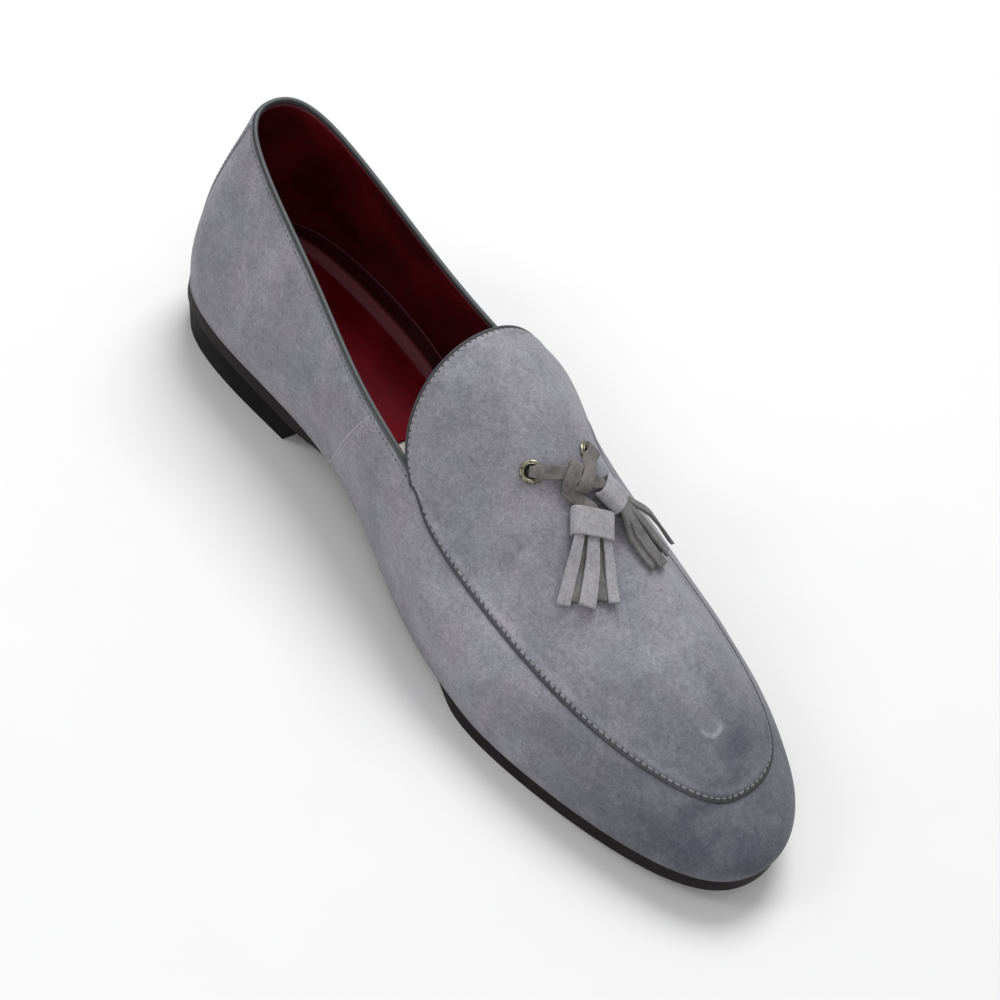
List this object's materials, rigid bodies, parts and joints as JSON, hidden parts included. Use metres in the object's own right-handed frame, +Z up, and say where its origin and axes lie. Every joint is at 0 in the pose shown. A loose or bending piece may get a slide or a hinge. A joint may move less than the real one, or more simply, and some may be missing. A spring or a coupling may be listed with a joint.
{
  "type": "tassel loafer",
  "caption": "Low-cut slip-on dress shoe for the left foot, with a raised apron, a tongue over the instep, lace tassels, a thin sole and a low block heel.",
  "frame": {"origin": "centre of the shoe's outline on the floor under the sole, without the lace's loose ends", "axes": "toe points along -Y, heel along +Y, +X is the outer side of the left foot, +Z up"},
  "size_m": [0.0964, 0.3034, 0.0914],
  "materials": {
    "suede": "napped suede, blue grey, burnished at the toe",
    "tassel": "suede, pale grey",
    "binding": "matte, dark grey",
    "lining": "smooth, burgundy, soft sheen",
    "sole_leather": "smooth, dyed edge, black brown",
    "heel": "matte, black",
    "eyelet": "antique",
    "lace": "suede thong, dark grey brown"
  },
  "bodies": {
    "root": {"upper": "suede", "back_strap": "suede", "tassel_inner": "tassel", "tassel_outer": "tassel", "collar_binding": "binding", "tongue_binding": "binding", "insole": "lining", "outsole": "sole_leather", "heel": "heel", "eyelet_inner": "eyelet", "eyelet_outer": "eyelet", "lace_bar_inner": "lace", "lace_bar_outer": "lace", "lace_knot": "lace", "lace_end_inner": "lace", "lace_end_outer": "lace"}
  },
  "joints": []
}
